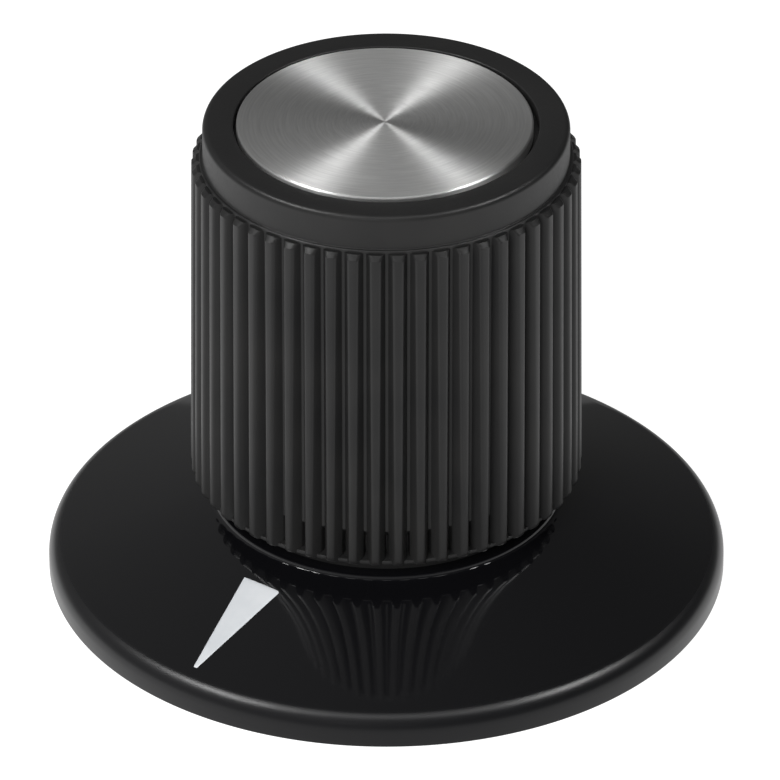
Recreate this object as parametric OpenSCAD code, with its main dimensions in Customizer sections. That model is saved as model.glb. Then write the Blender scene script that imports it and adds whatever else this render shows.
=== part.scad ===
// Skirted, fluted control knob for the 1/4 inch shaft of a tuning capacitor.
// Frame: origin on the shaft axis in the plane of the skirt's foot, +Z up,
// the white pointer lies towards -Y.

/* [Skirt] */
// Diameter of the skirt over its rim
skirt_d = 33.3; // [32.4:0.1:40]
// Height of the straight wall of the rim
rim_wall = 0.7; // [0.4:0.1:1.2]
// Radius that rounds the rim into the cone
rim_round = 1; // [0.4:0.1:1.1]
// Slope of the skirt's cone in degrees
skirt_slope = 20; // [16:0.5:24]
// Thickness of the skirt's shell
skirt_wall = 1.4; // [1.2:0.1:1.6]
// Diameter of the raised land that the grip stands on
land_d = 17.2; // [17:0.1:17.5]
// Height of the land above the top of the cone
land_h = 0.2; // [0.15:0.05:0.3]

/* [Pointer] */
// Distance from the axis to the pointer's broad end
pointer_in = 10.1; // [9.6:0.1:11]
// Distance from the axis to the pointer's tip
pointer_out = 15.5; // [14.5:0.1:15.8]
// Width of the pointer's broad end
pointer_w = 2.2; // [1.2:0.1:3]
// Width of the pointer's blunt tip
pointer_tip_w = 0.2; // [0.1:0.05:0.4]
// Depth of the paint that fills the pointer
pointer_depth = 0.25; // [0.15:0.05:0.4]

/* [Grip] */
// Diameter over the flutes at the bottom of the grip
grip_d = 19.2; // [19:0.1:19.3]
// How much smaller the grip is across at its top
grip_draft = 0.4; // [0.1:0.05:0.45]
// Number of flutes round the grip
flute_count = 54; // [44:1:56]
// Diameter of the grooves' floor between the flutes
groove_d = 17.9; // [17.8:0.1:18.1]
// Width of a ridge's flat crest at the bottom of the grip
crest_w = 0.32; // [0.1:0.02:0.38]
// Included angle between the flanks of a ridge in degrees
ridge_angle = 47; // [30:1:50]
// Length of the flutes
flute_len = 17.4; // [14:0.1:20]
// Radius that rounds the flutes' lower ends
flute_round = 0.4; // [0.2:0.1:0.8]
// Height of the deeper stretch at the grooves' lower ends
slot_h = 1.7; // [0.8:0.1:3]
// Diameter of the smooth neck below the flutes
neck_d = 15.8; // [15.4:0.1:17]
// Length of the neck between the skirt and the flutes
neck_len = 1.1; // [0.9:0.1:2.5]

/* [Collar] */
// Diameter of the smooth collar above the flutes
collar_d = 17.7; // [17.5:0.1:17.8]
// Height of the collar above the flutes
collar_h = 1.9; // [1.5:0.1:2.5]
// Radius of the collar's top edge
collar_round = 0.3; // [0.1:0.05:0.4]

/* [Inlay] */
// Diameter of the metal inlay
inlay_d = 14.3; // [13.5:0.1:14.4]
// Thickness of the metal inlay
inlay_t = 0.6; // [0.4:0.1:0.8]
// Width of the bevel round the inlay's top edge
inlay_bevel = 0.08; // [0.04:0.02:0.2]
// Gap between the inlay and the wall of its recess
inlay_gap = 0.2; // [0.15:0.05:0.3]
// Height of the inlay above the collar's top face
inlay_proud = 0.08; // [0:0.02:0.2]
// Thickness of the adhesive under the inlay
glue_t = 0.13; // [0.1:0.01:0.2]

/* [Bushing] */
// Diameter of the bore for the 6.35 mm shaft
bore_d = 6.4; // [6.37:0.01:6.45]
// Depth of the blind bore
bore_depth = 13.5; // [12:0.5:14]
// Diameter of the brass bushing over its knurl
bushing_d = 11; // [10.6:0.1:12]
// Length of the bushing
bushing_len = 15; // [15:0.5:16]
// Number of teeth in the knurl
knurl_count = 36; // [24:1:40]
// Depth of the knurl
knurl_depth = 0.3; // [0.2:0.05:0.4]

/* [Set screws] */
// Diameter of the number 6-32 set screws
screw_d = 3.5; // [3.4:0.05:3.55]
// Length of each set screw
screw_len = 4.76; // [4:0.01:5]
// Pitch of the screw thread
screw_pitch = 0.794; // [0.7:0.001:0.9]
// Height of the screws above the bushing's mouth
screw_up = 7.2; // [6:0.1:8]
// Distance from the axis to a screw's point at rest
screw_tip = 3.35; // [3.3:0.05:3.6]
// Width across flats of the hex socket
socket_af = 1.59; // [1.3:0.01:1.6]
// Depth of the hex socket
socket_depth = 1.9; // [1.5:0.1:2.2]

/* [Hidden] */
$fn = 96;

// The inlay sits slightly off centre in its recess
inlay_off = [-0.05, -0.04];
// Radial clearance of a screw in its tapped hole
thread_clear = 0.03;
// Radial clearance of a screw in the grip's access hole
access_clear = 0.3;
// Depth of the screw thread, and half its crest as a share of the pitch
thread_depth = 0.4;
thread_crest = 0.06;
// Depth of the cup in a screw's point, and its width at the point
cup_depth = 0.35;
cup_d = 1.6;
// How much smaller the adhesive disc is across than the inlay
glue_margin = 0.6;
// Chamfers on the screws' ends and on the bore's mouth
screw_chamfer = 0.35;
bore_chamfer = 0.4;
// Width of the foot that the rim stands on, and its lift to the shell's underside
foot_w = 1.6;
foot_lift = 0.35;
// Diameter of the round core inside the fluted section
core_d = 16;
// Diameter of the spigot below the neck, pressed into the skirt
spigot_d = 15;
// Ledge that the collar stands on: width beyond the collar and step above the flutes
ledge_w = 0.17;
ledge_step = 0.15;
// Fillet radius where the collar stands on the ledge
cove_r = 0.12;
// How much deeper the grooves are at their lower ends than along the flutes
slot_depth = 0.5;
// Height of the slope that ends the deeper stretch
slot_ramp = 0.5;
// Thin ring that closes the grooves at their lower ends: width beyond their floor, and height
ring_w = 0.3;
ring_h = 0.2;
// How far the ridges run into the round core below the grooves
ridge_root = 0.1;
// Plain band between the bushing's two knurled bands
band_z = 10.2;
band_w = 1.6;
// Round steps that draw an arc in an outline
arc_steps = 6;
// Small amount by which a cutter passes a face, and a wider one for hidden overlaps
eps = 0.01;
overlap = 1;

skirt_r = skirt_d / 2;
// The cone leaves the rim's rounding where their slopes agree
cone_r0 = skirt_r - rim_round + rim_round * sin(skirt_slope);
cone_z0 = rim_wall + rim_round * cos(skirt_slope);
land_z0 = cone_z0 + (cone_r0 - land_d / 2) * tan(skirt_slope);
land_z = land_z0 + land_h;
under_z = land_z - skirt_wall;
flute_z0 = land_z + neck_len;
flute_z1 = flute_z0 + flute_len;
ledge_z = flute_z1 + ledge_step;
collar_z = flute_z1 + collar_h;
recess_d = inlay_d + 2 * inlay_gap;
recess_z = collar_z + inlay_proud - inlay_t - glue_t;
bushing_z0 = under_z;
bushing_z1 = bushing_z0 + bushing_len;
screw_z = bushing_z0 + screw_up;
half_tooth = tan(ridge_angle / 2);
grip_r = grip_d / 2;
groove_r = groove_d / 2;
// Angle between neighbouring flutes, and the half angle of a ridge at radius r:
// its flanks slope down to the grooves' floor and run straight in below it
pitch_deg = 360 / flute_count;
function ridge_half(r) =
    atan((crest_w / 2 + (grip_r - max(r, groove_r)) * half_tooth) / r);
function polar(r, a) = [r * cos(a), r * sin(a)];
// Points of an arc about (x, z), from angle a0 to angle a1
function arc(x, z, r, a0, a1) =
    [for (i = [0 : arc_steps]) [x, z] + polar(r, a0 + (a1 - a0) * i / arc_steps)];
// Height of the cone's surface above radius r
function cone_z(r) = cone_z0 + (cone_r0 - r) * tan(skirt_slope);

// Outline of the fluted section, each flank through the given radii from floor to crest
module flute_outline(radii) {
    last = len(radii) - 1;
    rising = [for (k = [0 : last]) [-1, radii[k]]];
    falling = [for (k = [last : -1 : 0]) [1, radii[k]]];
    polygon([for (i = [0 : flute_count - 1], p = concat(rising, falling))
        polar(p[1], (i + 0.5) * pitch_deg + p[0] * ridge_half(p[1]))]);
}

// Round envelope that gives the flutes their draft and rounded lower ends
module flute_envelope() {
    rotate_extrude()
        polygon(concat(
            [[0, flute_z0]],
            arc(grip_r - flute_round, flute_z0 + flute_round, flute_round, -90, 0),
            [[grip_r - grip_draft / 2, flute_z1], [0, flute_z1]]));
}

// Outline of the bushing's knurl
module knurl_outline() {
    polygon([for (i = [0 : 2 * knurl_count - 1])
        polar(bushing_d / 2 - (i % 2) * knurl_depth, i * 180 / knurl_count)]);
}

// The bushing without its bore and tapped holes
module bushing_blank() {
    band_d = bushing_d - 2 * knurl_depth - 2 * eps;
    difference() {
        translate([0, 0, bushing_z0])
            linear_extrude(bushing_len)
                knurl_outline();
        translate([0, 0, bushing_z0 + band_z])
            difference() {
                cylinder(h = band_w, d = bushing_d + overlap);
                cylinder(h = band_w, d = band_d);
            }
    }
}

// Places a child that lies along +X on the rear and side screw axes
module at_rear() {
    translate([0, 0, screw_z])
        rotate([0, 0, 90])
            children();
}
module at_side() {
    translate([0, 0, screw_z])
        rotate([0, 0, 180])
            children();
}

// Round hole along +X from the axis outwards
module radial_hole(d, len) {
    rotate([0, 90, 0])
        cylinder(h = len, d = d);
}

// Wedge of the pointer, as a prism through the skirt
module pointer_prism(low, high) {
    translate([0, 0, low])
        linear_extrude(high - low)
            polygon([[-pointer_w / 2, -pointer_in], [-pointer_tip_w / 2, -pointer_out],
                     [pointer_tip_w / 2, -pointer_out], [pointer_w / 2, -pointer_in]]);
}

module grip() {
    color([0.13, 0.13, 0.135])
    difference() {
        union() {
            // Fluted section, drafted and rounded by its envelope
            intersection() {
                union() {
                    translate([0, 0, flute_z0 + slot_h])
                        linear_extrude(flute_len - slot_h)
                            flute_outline([groove_r, grip_r]);
                    translate([0, 0, flute_z0])
                        linear_extrude(slot_h + eps)
                            flute_outline([groove_r - slot_depth - ridge_root, groove_r, grip_r]);
                }
                flute_envelope();
            }
            // Spigot, neck, ring, deepening floor, core, ledge and collar in one turned outline
            rotate_extrude()
                polygon(concat(
                    [[0, under_z], [spigot_d / 2, under_z], [spigot_d / 2, land_z],
                     [neck_d / 2, land_z], [neck_d / 2, flute_z0],
                     [groove_r + ring_w, flute_z0],
                     [groove_r + ring_w, flute_z0 + ring_h],
                     [groove_r - slot_depth, flute_z0 + ring_h],
                     [groove_r - slot_depth, flute_z0 + slot_h - slot_ramp],
                     [groove_r - eps, flute_z0 + slot_h - eps],
                     [core_d / 2, flute_z0 + slot_h - eps],
                     [core_d / 2, flute_z1 - overlap],
                     [collar_d / 2 + ledge_w, flute_z1 - eps],
                     [collar_d / 2 + ledge_w, ledge_z]],
                    arc(collar_d / 2 + cove_r, ledge_z + cove_r, cove_r, 270, 180),
                    arc(collar_d / 2 - collar_round, collar_z - collar_round,
                        collar_round, 0, 90),
                    [[0, collar_z]]));
        }
        translate([0, 0, recess_z])
            cylinder(h = collar_z, d = recess_d);
        bushing_blank();
        at_rear()
            radial_hole(screw_d + 2 * access_clear, grip_d);
        at_side()
            radial_hole(screw_d + 2 * access_clear, grip_d);
    }
}

module skirt() {
    land_round = land_h / 2;
    inner_r = skirt_r - foot_w;
    color([0.09, 0.09, 0.095])
    difference() {
        rotate_extrude()
            polygon(concat(
                [[spigot_d / 2, under_z], [spigot_d / 2, land_z]],
                arc(land_d / 2 - land_round, land_z - land_round, land_round, 90, 0),
                [[land_d / 2, land_z0]],
                arc(skirt_r - rim_round, rim_wall, rim_round, 90 - skirt_slope, 0),
                [[skirt_r, 0], [inner_r, 0], [inner_r - foot_lift / 2, foot_lift],
                 [land_d / 2, under_z]]));
        pointer();
    }
}

module pointer() {
    slant = pointer_depth / cos(skirt_slope);
    inner = pointer_in - overlap;
    color([0.87, 0.89, 0.9])
    intersection() {
        pointer_prism(0, land_z);
        rotate_extrude()
            polygon([[inner, cone_z(inner)],
                     [cone_r0, cone_z0],
                     [cone_r0, cone_z0 - slant],
                     [inner, cone_z(inner) - slant]]);
    }
}

module cap_inlay() {
    color([0.72, 0.72, 0.71])
    translate([inlay_off.x, inlay_off.y, recess_z + glue_t])
        rotate_extrude()
            polygon([[0, 0], [inlay_d / 2, 0], [inlay_d / 2, inlay_t - inlay_bevel],
                     [inlay_d / 2 - inlay_bevel, inlay_t], [0, inlay_t]]);
}

module inlay_adhesive() {
    color([0.75, 0.7, 0.55])
    translate([inlay_off.x, inlay_off.y, recess_z])
        cylinder(h = glue_t, d = inlay_d - glue_margin);
}

module shaft_bushing() {
    color([0.75, 0.6, 0.3])
    difference() {
        bushing_blank();
        translate([0, 0, bushing_z0 - eps])
            cylinder(h = bore_depth + eps, d = bore_d);
        translate([0, 0, bushing_z0 - eps])
            cylinder(h = bore_chamfer + eps, d1 = bore_d + 2 * bore_chamfer, d2 = bore_d);
        at_rear()
            radial_hole(screw_d + 2 * thread_clear, bushing_d);
        at_side()
            radial_hole(screw_d + 2 * thread_clear, bushing_d);
    }
}

// Headless screw along +X, its cup point towards the axis
module set_screw() {
    r = screw_d / 2;
    turns = floor((screw_len - 2 * screw_chamfer) / screw_pitch);
    lead_in = (screw_len - turns * screw_pitch) / 2;
    color([0.35, 0.35, 0.37])
    translate([screw_tip, 0, 0])
        rotate([0, 90, 0])
            difference() {
                rotate_extrude()
                    polygon(concat(
                        [[0, cup_depth], [cup_d / 2, 0], [r - screw_chamfer, 0],
                         [r, screw_chamfer]],
                        [for (i = [0 : turns - 1], p = [[0, thread_crest], [-thread_depth, 0.5],
                                                       [0, 1 - thread_crest]])
                            [r + p[0], lead_in + (i + p[1]) * screw_pitch]],
                        [[r, screw_len - screw_chamfer], [r - screw_chamfer, screw_len],
                         [0, screw_len]]));
                translate([0, 0, screw_len - socket_depth])
                    cylinder(h = socket_depth + eps, d = socket_af / cos(30), $fn = 6);
            }
}

module set_screw_rear() {
    at_rear()
        set_screw();
}

module set_screw_side() {
    at_side()
        set_screw();
}

grip();
skirt();
pointer();
cap_inlay();
inlay_adhesive();
shaft_bushing();
set_screw_rear();
set_screw_side();
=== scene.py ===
"""Looks of the skirted control knob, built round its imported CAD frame. Lengths are metres."""

import math

import bmesh
import bpy
from mathutils import Matrix, Vector


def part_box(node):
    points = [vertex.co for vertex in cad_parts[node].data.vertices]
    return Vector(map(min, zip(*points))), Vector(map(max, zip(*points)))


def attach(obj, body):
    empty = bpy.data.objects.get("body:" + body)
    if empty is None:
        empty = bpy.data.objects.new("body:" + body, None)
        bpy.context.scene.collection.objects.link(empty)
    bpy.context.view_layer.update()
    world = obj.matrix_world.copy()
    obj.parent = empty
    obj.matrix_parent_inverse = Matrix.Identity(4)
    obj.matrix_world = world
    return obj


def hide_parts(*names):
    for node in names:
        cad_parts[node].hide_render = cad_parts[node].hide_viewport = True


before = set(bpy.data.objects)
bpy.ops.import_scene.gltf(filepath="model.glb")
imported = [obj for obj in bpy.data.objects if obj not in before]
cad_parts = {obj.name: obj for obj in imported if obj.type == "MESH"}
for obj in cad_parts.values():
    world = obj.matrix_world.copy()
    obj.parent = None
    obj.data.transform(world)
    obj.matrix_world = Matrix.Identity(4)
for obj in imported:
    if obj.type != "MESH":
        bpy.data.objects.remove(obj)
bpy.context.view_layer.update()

scene = bpy.context.scene
MM = 0.001
TURN = 2 * math.pi
UP = Vector((0, 0, 1))


# ---------------------------------------------------------------- sizes from the frame

grip_low, grip_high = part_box("grip")
_, skirt_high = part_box("skirt")
inlay_low, inlay_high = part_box("cap_inlay")
pointer_low, pointer_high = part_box("pointer")
_, bushing_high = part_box("shaft_bushing")
rear_low, rear_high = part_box("set_screw_rear")

GRIP_R = grip_high.x
SKIRT_R = skirt_high.x
LAND_Z = skirt_high.z
UNDER_Z = grip_low.z
COLLAR_Z = grip_high.z
INLAY_R = (inlay_high.x - inlay_low.x) / 2
INLAY_T = inlay_high.z - inlay_low.z
INLAY_AT = (inlay_low + inlay_high) / 2
BUSHING_R = bushing_high.x
BUSHING_Z = bushing_high.z
SCREW_R = (rear_high.x - rear_low.x) / 2
SCREW_Z = (rear_high.z + rear_low.z) / 2

# Ridges and grooves of the grip, divided as in the CAD part
FLUTES = 54
NECK_H = 1.1 * MM
FLUTE_LEN = 17.4 * MM
FLUTE_Z0 = LAND_Z + NECK_H
FLUTE_Z1 = FLUTE_Z0 + FLUTE_LEN
FLUTE_ROUND = 0.4 * MM      # rounding of the ridges' lower ends
TOP_BEVEL = 0.22 * MM       # bevel on the ridges' upper ends
CREST_DRAFT = 0.2 * MM      # what the crests' radius loses from foot to top
CREST_HALF = 0.16 * MM      # half the width of a crest at the foot
CREST_SOFT = 0.13 * MM      # rounding of a ridge's outer corners
RIDGE_SLOPE = math.tan(math.radians(23.5))
ROOT_SOFT = 0.05 * MM       # rounding of the corners in the groove
ROOT_SHARE = 0.4            # share of the groove's floor that slopes down from the ridges
GROOVE_R = 8.95 * MM
GROOVE_DIP = 0.01 * MM      # fall of that slope
LOW_ROW = 3.5 * MM          # heights of two rows on the plain stretch
HIGH_ROW = 10 * MM
BEVEL_ROW = 0.3 * MM        # depth of the last row before the bevel

# Deeper lower ends of the grooves, and the thin ring that closes them
SLOT_H = 1.7 * MM
SLOT_RAMP = 0.5 * MM
SLOT_DEPTH = 0.5 * MM
UPRIGHT_AT = 0.25           # share of the slots' depth from which their walls stand upright
RING_R = GROOVE_R + 0.3 * MM
RING_H = 0.2 * MM
RING_SOFT = 0.05 * MM

# Plain parts of the grip
NECK_R = 7.9 * MM
SPIGOT_R = 7.5 * MM
LEDGE_R = 9.02 * MM
LEDGE_Z = FLUTE_Z1 + 0.15 * MM
LEDGE_EDGE = 0.04 * MM
COLLAR_R = 8.85 * MM
COLLAR_ROUND = 0.3 * MM
FILLET = 0.06 * MM
RECESS_R = INLAY_R + 0.2 * MM
RECESS_EDGE = 0.08 * MM
RECESS_BAND = 1 * MM        # outer ring of faces on the recess's floor
ADHESIVE_T = 0.13 * MM
RECESS_Z = INLAY_AT.z - INLAY_T / 2 - ADHESIVE_T
ACCESS_R = SCREW_R + 0.3 * MM
GRIP_SHARP = 30             # degrees from which an edge of the grip shows

# Skirt
RIM_WALL = 0.7 * MM
RIM_ROUND = 1.0 * MM
SLOPE = math.radians(20)
LAND_R = 8.6 * MM
LAND_H = 0.2 * MM
LAND_EDGE = 0.4 * LAND_H
LAND_FILLET = 0.24 * MM
LAND_APRON = 0.5 * MM
HAIR = 0.005 * MM
FOOT_W = 1.6 * MM
FOOT_LIFT = 0.35 * MM
FOOT_ROUND = 0.1 * MM
CONE_R0 = SKIRT_R - RIM_ROUND + RIM_ROUND * math.sin(SLOPE)
CONE_Z0 = RIM_WALL + RIM_ROUND * math.cos(SLOPE)

# Pointer
POINTER_IN = -pointer_high.y
POINTER_OUT = -pointer_low.y
POINTER_W = pointer_high.x - pointer_low.x
POINTER_TIP_W = 0.2 * MM
POINTER_DEPTH = 0.2 * MM
PAINT_RISE = 0.022 * MM
PAINT_EDGE = 0.05 * MM
PAINT_SINK = 0.002 * MM


def cone_z(r):
    """Height of the skirt's cone at radius r."""
    return CONE_Z0 + (CONE_R0 - r) * math.tan(SLOPE)


# ---------------------------------------------------------------- mesh helpers

def new_object(name, bm):
    """Turns a bmesh into an object of the scene, with its faces outwards."""
    bmesh.ops.recalc_face_normals(bm, faces=bm.faces)
    mesh = bpy.data.meshes.new(name)
    bm.to_mesh(mesh)
    bm.free()
    made = bpy.data.objects.new(name, mesh)
    scene.collection.objects.link(made)
    return made


def shade(mesh, sharp):
    """Smooth shading that breaks at edges sharper than an angle in degrees."""
    mesh.shade_smooth()
    mesh.set_sharp_from_angle(angle=math.radians(sharp))


def finish_mesh(name, bm, body, material, replaces, sharp):
    """Turns a bmesh into a shaded piece that rides on a CAD body in place of CAD nodes."""
    bmesh.ops.remove_doubles(bm, verts=bm.verts, dist=1e-8)
    piece = new_object(name, bm)
    shade(piece.data, sharp)
    piece.data.materials.append(material)
    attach(piece, body)
    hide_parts(*replaces)
    return piece


def even_angles(segments):
    """Angles of evenly spaced points round the axis."""
    return [TURN * i / segments for i in range(segments)]


def turned(bm, outline, angles):
    """Vertices of an outline of (radius, height) points turned about Z, a row for each point."""
    rows = []
    for r, z in outline:
        if r == 0:
            rows.append([bm.verts.new((0, 0, z))])
        else:
            rows.append([bm.verts.new((r * math.cos(a), r * math.sin(a), z)) for a in angles])
    return rows


def grid_faces(bm, rows, closed=True):
    """Quads between successive rows of vertices; a row may be a single apex vertex."""
    for low, high in zip(rows, rows[1:]):
        count = max(len(low), len(high))
        for i in range(count if closed else count - 1):
            j = (i + 1) % count
            if len(low) == 1:
                bm.faces.new((low[0], high[j], high[i]))
            elif len(high) == 1:
                bm.faces.new((low[i], low[j], high[0]))
            else:
                bm.faces.new((low[i], low[j], high[j], high[i]))


def arc(x, z, r, start, end, steps):
    """Points of an arc about (x, z), between two angles in degrees."""
    sweep = [math.radians(start + (end - start) * i / steps) for i in range(steps + 1)]
    return [(x + r * math.cos(a), z + r * math.sin(a)) for a in sweep]


def rounded(points, radii, steps=3):
    """The outline with each inner corner cut by a smooth curve that starts radii[i] before it."""
    out = [points[0]]
    for before, at, after, radius in zip(points, points[1:], points[2:], radii):
        a, p, b = Vector(before), Vector(at), Vector(after)
        # Two corners share each segment, but only one uses the first
        share = 0.9 if before is points[0] else 0.49
        reach_a = min(radius, (a - p).length * share)
        reach_b = min(radius, (b - p).length * 0.49)
        start = p + (a - p).normalized() * reach_a
        end = p + (b - p).normalized() * reach_b
        for i in range(steps + 1):
            t = i / steps
            out.append(tuple(start * (1 - t) ** 2 + p * 2 * t * (1 - t) + end * t * t))
    out.append(points[-1])
    return out


def cut(piece, cutters):
    """Takes the cutters out of the piece, exactly, and deletes them."""
    for tool in cutters:
        modifier = piece.modifiers.new("cut", "BOOLEAN")
        modifier.operation = "DIFFERENCE"
        modifier.solver = "EXACT"
        modifier.object = tool
    bpy.context.view_layer.update()
    depsgraph = bpy.context.evaluated_depsgraph_get()
    mesh = bpy.data.meshes.new_from_object(piece.evaluated_get(depsgraph))
    piece.modifiers.clear()
    piece.data = mesh
    for tool in cutters:
        bpy.data.objects.remove(tool)


def plug(name, radius, start, length, direction):
    """A loose cylinder that cut() takes away, from start along direction."""
    bm = bmesh.new()
    grid_faces(bm, turned(bm, [(0, 0), (radius, 0), (radius, length), (0, length)], even_angles(64)))
    turn = UP.rotation_difference(Vector(direction)).to_matrix().to_4x4()
    bm.transform(Matrix.Translation(start) @ turn)
    return new_object(name, bm)


# ---------------------------------------------------------------- materials

GRIP_IOR = 1.37
SKIRT_IOR = 1.5


class Nodes:
    """A short way to write the nodes that lead to one shader."""

    def __init__(self, tree, shader="Principled BSDF", coords="Object"):
        self.tree = tree
        self.shader = tree.nodes[shader]
        self.coords = tree.nodes.new("ShaderNodeTexCoord").outputs[coords]

    def add(self, kind, inputs, **settings):
        node = self.tree.nodes.new(kind)
        for key, value in settings.items():
            setattr(node, key, value)
        for key, value in inputs.items():
            self.put(node.inputs[key], value)
        return node

    def put(self, socket, value):
        if isinstance(value, bpy.types.NodeSocket):
            self.tree.links.new(value, socket)
        else:
            socket.default_value = value

    def set(self, **inputs):
        """Shader inputs; an underscore in a name stands for a space."""
        for key, value in inputs.items():
            self.put(self.shader.inputs[key.replace("_", " ")], value)

    def noise(self, scale, detail, roughness=0.55, place=None):
        inputs = {"Vector": place or self.coords, "Scale": scale, "Detail": detail,
                  "Roughness": roughness}
        return self.add("ShaderNodeTexNoise", inputs).outputs["Fac"]

    def ramp(self, value, low, high, out_low, out_high):
        inputs = {"Value": value, "From Min": low, "From Max": high,
                  "To Min": out_low, "To Max": out_high}
        return self.add("ShaderNodeMapRange", inputs).outputs["Result"]

    def math(self, operation, a, b=0.0):
        return self.add("ShaderNodeMath", {0: a, 1: b}, operation=operation).outputs["Value"]

    def dot(self, a, b):
        return self.add("ShaderNodeVectorMath", {0: a, 1: b}, operation="DOT_PRODUCT").outputs["Value"]

    def split(self):
        """X, Y and Z of the place being shaded."""
        return self.add("ShaderNodeSeparateXYZ", {"Vector": self.coords}).outputs

    def radius(self):
        """Distance of the place being shaded from the Z axis."""
        place = self.split()
        x2 = self.math("MULTIPLY", place["X"], place["X"])
        y2 = self.math("MULTIPLY", place["Y"], place["Y"])
        return self.math("SQRT", self.math("ADD", x2, y2))

    def mix(self, factor, a, b):
        node = self.add("ShaderNodeMix", {"Factor": factor, 6: a, 7: b}, data_type="RGBA")
        return node.outputs[2]

    def blend(self, value, low, high, a, b):
        """Colour a up to where value is low, colour b from where it is high."""
        return self.mix(self.ramp(value, low, high, 0, 1), a, b)

    def bump(self, height, strength, depth):
        inputs = {"Height": height, "Strength": strength, "Distance": depth}
        return self.add("ShaderNodeBump", inputs).outputs["Normal"]


def node_material(name):
    """A new material, and the nodes that lead to its shader."""
    material = bpy.data.materials.new(name)
    material.use_nodes = True
    return material, Nodes(material.node_tree)


def moulded_plastic():
    """Satin black thermoset of the grip: a faint mould grain and slight colour variation."""
    material, n = node_material("moulded_plastic")
    cloud = n.noise(260, 3)
    grain = n.noise(5200, 5, 0.6)
    n.set(Base_Color=n.blend(cloud, 0.3, 0.7, (0.0112, 0.0112, 0.0114, 1), (0.0146, 0.0144, 0.0142, 1)),
          Roughness=n.ramp(grain, 0.3, 0.7, 0.32, 0.4),
          Normal=n.bump(grain, 0.12, 0.02 * MM))
    n.shader.inputs["IOR"].default_value = GRIP_IOR
    return material


def polished_plastic():
    """High-gloss black of the skirt: slow ripples of a moulded face, dust, and a duller rim."""
    material, n = node_material("polished_plastic")
    ripple = n.noise(140, 2, 0.4)
    dust = n.noise(9000, 3, 0.7)
    # Handling has dulled the rounding of the rim
    worn = n.ramp(n.radius(), CONE_R0 - 0.1 * MM, CONE_R0 + 0.15 * MM, 0, 0.28)
    dusty = n.ramp(dust, 0.68, 0.8, 0, 0.3)
    n.set(Base_Color=n.mix(dusty, (0.0032, 0.0032, 0.0038, 1), (0.015, 0.015, 0.015, 1)),
          Roughness=n.math("ADD", n.ramp(ripple, 0.3, 0.7, 0.045, 0.07), worn),
          Normal=n.bump(ripple, 0.08, 0.02 * MM))
    n.shader.inputs["IOR"].default_value = SKIRT_IOR
    return material


def pointer_paint():
    """White paint that fills the pointer, slightly uneven and softer in shine than the skirt."""
    material, n = node_material("pointer_paint")
    cloud = n.noise(900, 3)
    skin = n.noise(6000, 4)
    n.set(Base_Color=n.blend(cloud, 0.3, 0.7, (0.53, 0.552, 0.574, 1), (0.585, 0.602, 0.62, 1)),
          Roughness=n.ramp(skin, 0.3, 0.7, 0.38, 0.5),
          Normal=n.bump(skin, 0.2, 0.01 * MM))
    return material


def spun_aluminium():
    """Metal with the fine concentric rings that a lathe leaves, which spread light across them."""
    material, n = node_material("spun_aluminium")
    place = n.split()
    angle = n.math("ARCTAN2", place["Y"], place["X"])
    # Noise that is long round the ring and very short across it
    ring_place = n.add("ShaderNodeCombineXYZ", {"X": n.math("MULTIPLY", n.radius(), 9000.0),
                                                "Y": n.math("MULTIPLY", angle, 2.2)})
    rings = n.noise(1.0, 3, 0.65, ring_place.outputs["Vector"])
    tangent = n.add("ShaderNodeTangent", {}, direction_type="RADIAL", axis="Z").outputs["Tangent"]
    n.set(Base_Color=n.blend(rings, 0.25, 0.75, (0.68, 0.68, 0.672, 1), (0.86, 0.86, 0.85, 1)),
          Roughness=n.ramp(rings, 0.2, 0.8, 0.38, 0.48),
          Normal=n.bump(rings, 0.25, 0.01 * MM), Tangent=tangent)
    n.shader.inputs["Metallic"].default_value = 1.0
    n.shader.inputs["Anisotropic"].default_value = 0.9
    n.shader.inputs["Anisotropic Rotation"].default_value = 0.25
    return material


def machined_brass():
    """Brass with a fine machined grain and a little tarnish."""
    material, n = node_material("machined_brass")
    tarnish = n.noise(700, 4)
    fine = n.noise(8000, 3)
    n.set(Base_Color=n.blend(tarnish, 0.35, 0.7, (0.72, 0.5, 0.2, 1), (0.5, 0.34, 0.14, 1)),
          Roughness=n.ramp(tarnish, 0.3, 0.7, 0.22, 0.38),
          Normal=n.bump(fine, 0.1, 0.01 * MM))
    n.shader.inputs["Metallic"].default_value = 1.0
    return material


def black_oxide():
    """Steel under black oxide, rubbed a little brighter in places."""
    material, n = node_material("black_oxide")
    rub = n.noise(1500, 4)
    n.set(Base_Color=n.blend(rub, 0.5, 0.75, (0.03, 0.03, 0.032, 1), (0.16, 0.16, 0.165, 1)),
          Roughness=n.ramp(rub, 0.3, 0.7, 0.45, 0.3),
          Normal=n.bump(rub, 0.1, 0.01 * MM))
    n.shader.inputs["Metallic"].default_value = 0.8
    return material


def adhesive_film():
    """Pale film of glue under the inlay."""
    material, n = node_material("adhesive_film")
    cloud = n.noise(800, 4)
    n.set(Base_Color=n.blend(cloud, 0.3, 0.7, (0.5, 0.45, 0.32, 1), (0.6, 0.56, 0.42, 1)),
          Roughness=n.ramp(cloud, 0.3, 0.7, 0.4, 0.6))
    return material


def studio_floor():
    """Pale table that shines by itself, so it stays even and shadowless."""
    material, n = node_material("studio_floor")
    cloud = n.noise(3, 2)
    color = n.blend(cloud, 0.3, 0.7, (0.3, 0.3, 0.3, 1), (0.32, 0.32, 0.32, 1))
    n.set(Base_Color=color, Emission_Color=color, Roughness=0.9)
    n.shader.inputs["Emission Strength"].default_value = 3.1
    return material


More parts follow.
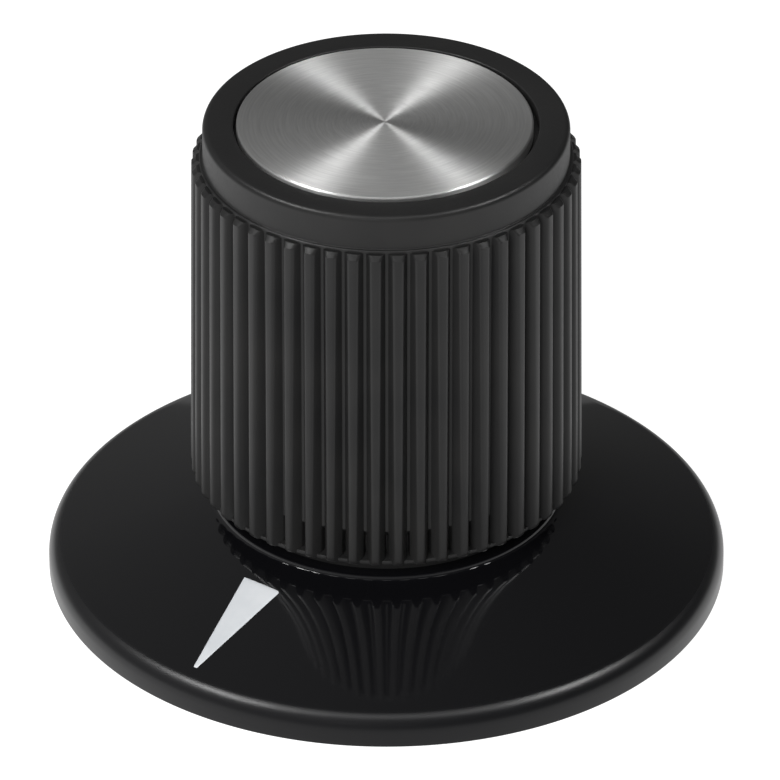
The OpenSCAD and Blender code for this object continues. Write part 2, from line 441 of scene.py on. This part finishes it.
def floor_glow(right, front):
    """What polished faces mirror of the table: brightest at the sides, dimmest behind the knob."""
    material, n = node_material("floor_glow")
    place = n.add("ShaderNodeVectorMath", {0: n.coords}, operation="NORMALIZE").outputs["Vector"]
    side = n.dot(place, right)
    ahead = n.dot(place, front)
    both_sides = n.math("MULTIPLY", n.math("MULTIPLY", side, side), 0.75)
    glow = n.math("ADD", both_sides, n.math("ADD", n.math("MULTIPLY", ahead, 0.14), 0.38))
    # The left is a little brighter than the right
    glow = n.math("ADD", glow, n.math("MULTIPLY", side, -0.06))
    n.set(Emission_Color=(1, 1, 1, 1), Emission_Strength=glow, Base_Color=(0, 0, 0, 1))
    n.shader.inputs["Specular IOR Level"].default_value = 0.0
    return material


# ---------------------------------------------------------------- grip

def flute_points(top, floor, slot):
    """Half a ridge, from the middle of its crest to the middle of the groove: (offset, radius)."""
    half_pitch = math.pi * floor / FLUTES
    crest = CREST_HALF + (GRIP_R - top) * RIDGE_SLOPE
    foot = CREST_HALF + (GRIP_R - GROOVE_R) * RIDGE_SLOPE
    # The floor slopes down from the ridge, but the slots' walls stand upright
    edge = foot + ROOT_SHARE * (half_pitch - foot) * max(0.0, 1 - slot / UPRIGHT_AT)
    points = [(0, top), (crest, top), (foot, GROOVE_R), (edge, floor), (half_pitch, floor)]
    return rounded(points, [CREST_SOFT, ROOT_SOFT, ROOT_SOFT])


def flute_row(bm, z, top, slot=0.0):
    """The vertices of the fluted outline at height z, and their angles."""
    floor = GROOVE_R - GROOVE_DIP - SLOT_DEPTH * slot
    side = flute_points(top, floor, slot)
    one = [(-u, r) for u, r in reversed(side[1:])] + side[:-1]
    angles = []
    row = []
    for k in range(FLUTES):
        for u, r in one:
            a = TURN * (k + 0.5) / FLUTES + u / r
            angles.append(a)
            row.append(bm.verts.new((r * math.cos(a), r * math.sin(a), z)))
    return row, angles


def crest_r(z):
    """Radius of the ridges' crests at height z: a slight draft, and a rounding at the foot."""
    drafted = GRIP_R - CREST_DRAFT * (z - FLUTE_Z0) / (FLUTE_Z1 - FLUTE_Z0)
    dip = max(0.0, FLUTE_ROUND - (z - FLUTE_Z0))
    end_round = GRIP_R - FLUTE_ROUND + math.sqrt(FLUTE_ROUND ** 2 - dip ** 2)
    return min(drafted, end_round)


def slot_share(z):
    """Depth of the slots at height z, as a share of their full depth."""
    return min(1.0, max(0.0, (FLUTE_Z0 + SLOT_H - z) / SLOT_RAMP))


def flute_rows(bm):
    """The rows of the fluted stretch from its foot up, and the angles of the topmost row."""
    heights = [FLUTE_Z0 + FLUTE_ROUND * (1 - math.cos(math.radians(a))) for a in range(0, 91, 10)]
    # Rows stand close together at both ends of the slots' ramp, so its edges stay crisp
    heights += [FLUTE_Z0 + SLOT_H - SLOT_RAMP * t for t in (1.04, 1.0, 0.96, 0.5, 0.04, 0.0, -0.04)]
    heights += [FLUTE_Z0 + LOW_ROW, FLUTE_Z0 + HIGH_ROW, FLUTE_Z1 - BEVEL_ROW]
    rows = [flute_row(bm, z, crest_r(z), slot_share(z))[0] for z in heights]
    for t in (1.0, 0.97, 0.0):
        top = GRIP_R - CREST_DRAFT - TOP_BEVEL * (1 - t)
        row, angles = flute_row(bm, FLUTE_Z1 - TOP_BEVEL * t, top)
        rows.append(row)
    return rows, angles


def add_foot_ring(piece):
    """Adds the thin ring that closes the grooves at their lower ends."""
    bm = bmesh.new()
    bm.from_mesh(piece.data)
    outline = [(NECK_R, FLUTE_Z0 + RING_H), (NECK_R, FLUTE_Z0)]
    outline += arc(RING_R - RING_SOFT, FLUTE_Z0 + RING_SOFT, RING_SOFT, -90, 0, 4)
    outline += arc(RING_R - RING_SOFT, FLUTE_Z0 + RING_H - RING_SOFT, RING_SOFT, 0, 90, 4)
    rows = turned(bm, outline, even_angles(360))
    rows.append(rows[0])
    grid_faces(bm, rows)
    bm.to_mesh(piece.data)
    bm.free()


def grip_piece(material):
    """The whole moulding: spigot, neck, flutes, ledge, collar, recess, cavity and screw holes."""
    bm = bmesh.new()
    rows, angles = flute_rows(bm)
    above = [(LEDGE_R, FLUTE_Z1), (LEDGE_R, LEDGE_Z - LEDGE_EDGE), (LEDGE_R - LEDGE_EDGE, LEDGE_Z)]
    above += arc(COLLAR_R + FILLET, LEDGE_Z + FILLET, FILLET, 270, 180, 4)
    above += arc(COLLAR_R - COLLAR_ROUND, COLLAR_Z - COLLAR_ROUND, COLLAR_ROUND, 0, 90, 10)
    above += arc(RECESS_R + RECESS_EDGE, COLLAR_Z - RECESS_EDGE, RECESS_EDGE, 90, 180, 4)
    above += [(RECESS_R, RECESS_Z), (RECESS_R - RECESS_BAND, RECESS_Z), (0, RECESS_Z)]
    rows += turned(bm, above, angles)
    below = arc(NECK_R + FILLET, FLUTE_Z0 - FILLET, FILLET, 90, 180, 4)
    below += [(NECK_R, LAND_Z), (SPIGOT_R, LAND_Z), (SPIGOT_R, UNDER_Z)]
    below += [(BUSHING_R, UNDER_Z), (BUSHING_R, BUSHING_Z), (0, BUSHING_Z)]
    rows = list(reversed(turned(bm, below, angles))) + rows
    grid_faces(bm, rows)
    piece = finish_mesh("fluted_grip", bm, "knob", material, ["grip"], GRIP_SHARP)
    start = Vector((0, 0, SCREW_Z))
    cut(piece, [plug("rear_hole", ACCESS_R, start, GRIP_R, (0, 1, 0)),
                plug("side_hole", ACCESS_R, start, GRIP_R, (-1, 0, 0))])
    add_foot_ring(piece)
    shade(piece.data, GRIP_SHARP)
    return piece


# ---------------------------------------------------------------- skirt and pointer

def skirt_outline():
    """The skirt's section, clockwise from the lower edge of its hole."""
    inner = SKIRT_R - FOOT_W
    apron_r = LAND_R + LAND_APRON
    wall_z = LAND_Z - LAND_EDGE - HAIR
    points = [(SPIGOT_R, UNDER_Z), (SPIGOT_R, LAND_Z)]
    points += arc(LAND_R - LAND_EDGE, LAND_Z - LAND_EDGE, LAND_EDGE, 90, 0, 6)
    land_foot = [(LAND_R, wall_z), (LAND_R, LAND_Z - LAND_H), (apron_r, cone_z(apron_r))]
    points += rounded(land_foot, [LAND_FILLET], 8)
    points += [(r * MM, cone_z(r * MM)) for r in (*range(10, 16), 15.7)]
    points += arc(SKIRT_R - RIM_ROUND, RIM_WALL, RIM_ROUND, 90 - math.degrees(SLOPE), 0, 14)
    points += arc(SKIRT_R - FOOT_ROUND, FOOT_ROUND, FOOT_ROUND, 0, -90, 4)
    points += [(inner + FOOT_ROUND, 0), (inner, FOOT_ROUND / 2), (inner - FOOT_LIFT / 2, FOOT_LIFT)]
    points += [(LAND_R, UNDER_Z)]
    return points


def skirt_piece(material):
    """The conical skirt on its raised land, hollow underneath."""
    bm = bmesh.new()
    rows = turned(bm, skirt_outline(), even_angles(720))
    rows.append(rows[0])
    grid_faces(bm, rows)
    return finish_mesh("conical_skirt", bm, "knob", material, ["skirt"], 35)


def pointer_piece(material):
    """A thin fill of paint that follows the cone, with softened edges."""
    bm = bmesh.new()
    across, along = 16, 60
    rows = []
    for i in range(along + 1):
        t = i / along
        y = POINTER_IN + (POINTER_OUT - POINTER_IN) * t
        half = (POINTER_W * (1 - t) + POINTER_TIP_W * t) / 2
        row = []
        for j in range(across + 1):
            s = 2 * j / across - 1
            x = half * s
            near_edge = min(half * (1 - abs(s)), y - POINTER_IN, POINTER_OUT - y)
            lift = PAINT_RISE * min(1.0, near_edge / PAINT_EDGE) ** 0.5
            row.append(bm.verts.new((x, -y, cone_z(math.hypot(x, y)) + lift - PAINT_SINK)))
        rows.append(row)
    grid_faces(bm, rows, closed=False)
    made = bmesh.ops.extrude_face_region(bm, geom=list(bm.faces))
    low = [v for v in made["geom"] if isinstance(v, bmesh.types.BMVert)]
    bmesh.ops.translate(bm, verts=low, vec=(0, 0, -POINTER_DEPTH))
    return finish_mesh("white_pointer", bm, "knob", material, ["pointer"], 50)


# ---------------------------------------------------------------- inlay

def inlay_piece(material):
    """Spun disc with a bevelled edge; its origin is the middle of its foot, for the ring pattern."""
    bm = bmesh.new()
    bevel = 0.08 * MM
    soft = 0.03 * MM
    wall_z = 0.1 * MM
    outline = [(0, 0), (INLAY_R - soft, 0), (INLAY_R, soft)]
    outline += rounded([(INLAY_R, wall_z), (INLAY_R, INLAY_T - bevel), (INLAY_R - bevel, INLAY_T),
                        (INLAY_R - 2 * bevel, INLAY_T)], [soft, soft])
    outline += [(INLAY_R * tenth / 10, INLAY_T) for tenth in (9, 7, 5, 3, 1, 0)]
    grid_faces(bm, turned(bm, outline, even_angles(360)))
    piece = finish_mesh("spun_inlay", bm, "knob", material, ["cap_inlay"], 30)
    piece.location = (INLAY_AT.x, INLAY_AT.y, inlay_low.z)
    return piece


# ---------------------------------------------------------------- camera, lights and table

def dress(node, material):
    """Gives its look to a CAD node that is carried over."""
    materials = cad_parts[node].data.materials
    materials.clear()
    materials.append(material)


def camera():
    """Long-lens camera at the photograph's viewing angle."""
    azimuth, elevation = math.radians(36.5), math.radians(32.07)
    distance, lens = 0.4617, 436
    aim_z, aim_right = 9.8 * MM, 0.18 * MM
    back = Vector((math.sin(azimuth) * math.cos(elevation), -math.cos(azimuth) * math.cos(elevation),
                   math.sin(elevation)))
    right = Vector((math.cos(azimuth), math.sin(azimuth), 0))
    data = bpy.data.cameras.new("camera")
    data.lens = lens
    data.sensor_width = 36
    data.clip_start, data.clip_end = 0.01, 20
    cam = bpy.data.objects.new("camera", data)
    scene.collection.objects.link(cam)
    cam.location = UP * aim_z + right * aim_right + back * distance
    cam.rotation_mode = "QUATERNION"
    cam.rotation_quaternion = (-back).to_track_quat("-Z", "Y")
    scene.camera = cam
    return back, right


def area_light(name, at, target, size, power):
    """A rectangular soft box that faces the target."""
    data = bpy.data.lights.new(name, "AREA")
    data.shape = "RECTANGLE"
    data.size, data.size_y = size
    data.energy = power
    light = bpy.data.objects.new(name, data)
    scene.collection.objects.link(light)
    light.location = at
    light.rotation_mode = "QUATERNION"
    light.rotation_quaternion = (target - at).to_track_quat("-Z", "Y")
    return light


def seen_by(thing, diffuse, glossy):
    """Which rays see a light or a disc, those of matt faces or of shiny ones; never the camera."""
    thing.visible_diffuse, thing.visible_glossy = diffuse, glossy
    thing.visible_camera = False


def table_disc(name, radius, material):
    """A round piece of the table, a hair below the knob's foot."""
    bm = bmesh.new()
    grid_faces(bm, turned(bm, [(0, 0), (radius, 0)], even_angles(128)))
    table = new_object(name, bm)
    table.location.z = -0.02 * MM
    table.data.materials.append(material)
    return table


def studio_world(right):
    """Dim sky, a little lighter high up and much lighter at the left than at the right."""
    world = bpy.data.worlds.new("studio")
    scene.world = world
    world.use_nodes = True
    n = Nodes(world.node_tree, "Background", "Generated")
    height = n.ramp(n.split()["Z"], 0, 0.4, 0.12, 0.17)
    lean = n.ramp(n.dot(n.coords, right), -1, 1, 1.9, 0.1)
    n.set(Strength=n.math("MULTIPLY", height, lean), Color=(1, 1, 1, 1))


# ---------------------------------------------------------------- scene

grip_piece(moulded_plastic())
skirt_piece(polished_plastic())
pointer_piece(pointer_paint())
inlay_piece(spun_aluminium())

dress("shaft_bushing", machined_brass())
dress("inlay_adhesive", adhesive_film())
steel = black_oxide()
for screw in ("set_screw_rear", "set_screw_side"):
    dress(screw, steel)

back, right = camera()
front = Vector((back.x, back.y, 0)).normalized()
centre = Vector((0, 0, 12 * MM))


def around(to_right, to_front, upwards):
    """A point round the knob, as the camera sees it."""
    return centre + right * to_right + front * to_front + UP * upwards


left_box = area_light("soft_box_left", around(-0.27, 0.05, 0.4), centre, (0.2, 0.07), 1.05)
right_box = area_light("soft_box_right", around(0.28, 0.01, 0.4), centre, (0.16, 0.07), 0.85)
fill = area_light("front_fill", around(-0.12, 0.45, 0.3), centre, (0.3, 0.3), 4.2)
card = area_light("front_card", around(0, 0.16, 0.46), centre, (0.5, 0.16), 0.42)
for light in (left_box, right_box, card):
    seen_by(light, diffuse=False, glossy=True)
seen_by(fill, diffuse=True, glossy=False)

table = table_disc("table", 0.7, studio_floor())
table.visible_glossy = False
glow = table_disc("table_glow", 0.3, floor_glow(right, front))
seen_by(glow, diffuse=False, glossy=True)
glow.visible_shadow = False

studio_world(right)
scene.view_settings.view_transform = "Standard"
